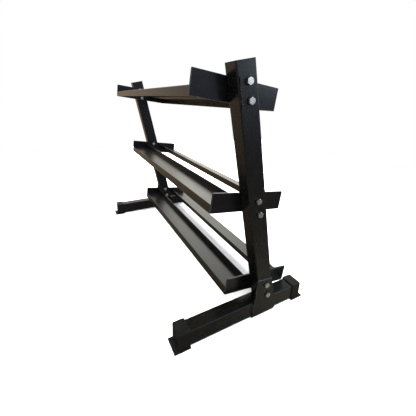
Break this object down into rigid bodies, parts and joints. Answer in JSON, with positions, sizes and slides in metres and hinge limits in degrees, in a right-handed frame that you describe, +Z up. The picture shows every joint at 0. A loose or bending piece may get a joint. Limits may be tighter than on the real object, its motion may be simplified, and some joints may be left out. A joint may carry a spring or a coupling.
{
  "type": "dumbbell rack",
  "caption": "Free-standing storage rack with tilted open trays between two leaning steel-tube uprights on floor rails with rubber foot caps.",
  "frame": {"origin": "on the floor at the centre of the footprint", "axes": "+Z up; +X along the trays, from the left end to the right end as the user sees them; the user stands on the -Y side and the uprights lean back towards +Y"},
  "size_m": [1.1418, 0.544, 0.8385],
  "materials": {
    "frame_black": "satin black powder coat",
    "plate_black": "satin black powder coat",
    "shelf_black": "semi-gloss black powder coat",
    "fastener_zinc": "bright zinc plating",
    "washer_black": "black oxide",
    "end_cap": "moulded black plastic",
    "foot_rubber": "matte black"
  },
  "bodies": {
    "root": {"upright_left": "frame_black", "upright_cap_left": "end_cap", "floor_rail_left": "frame_black", "foot_cap_rear_left": "foot_rubber", "foot_cap_front_left": "foot_rubber", "gusset_left": "plate_black", "backing_plate_left": "plate_black", "end_plate_bottom_left": "plate_black", "bolts_bottom_left": "fastener_zinc", "washers_bottom_left": "washer_black", "nuts_bottom_left": "fastener_zinc", "end_plate_middle_left": "plate_black", "bolts_middle_left": "fastener_zinc", "washers_middle_left": "washer_black", "nuts_middle_left": "fastener_zinc", "end_plate_top_left": "plate_black", "bolts_top_left": "fastener_zinc", "washers_top_left": "washer_black", "nuts_top_left": "fastener_zinc", "upright_right": "frame_black", "upright_cap_right": "end_cap", "floor_rail_right": "frame_black", "foot_cap_rear_right": "foot_rubber", "foot_cap_front_right": "foot_rubber", "gusset_right": "plate_black", "backing_plate_right": "plate_black", "end_plate_bottom_right": "plate_black", "bolts_bottom_right": "fastener_zinc", "washers_bottom_right": "washer_black", "nuts_bottom_right": "fastener_zinc", "end_plate_middle_right": "plate_black", "bolts_middle_right": "fastener_zinc", "washers_middle_right": "washer_black", "nuts_middle_right": "fastener_zinc", "end_plate_top_right": "plate_black", "bolts_top_right": "fastener_zinc", "washers_top_right": "washer_black", "nuts_top_right": "fastener_zinc", "shelf_rail_rear_bottom": "shelf_black", "shelf_rail_front_bottom": "shelf_black", "shelf_rail_rear_middle": "shelf_black", "shelf_rail_front_middle": "shelf_black", "shelf_rail_rear_top": "shelf_black", "shelf_rail_front_top": "shelf_black"}
  },
  "joints": []
}
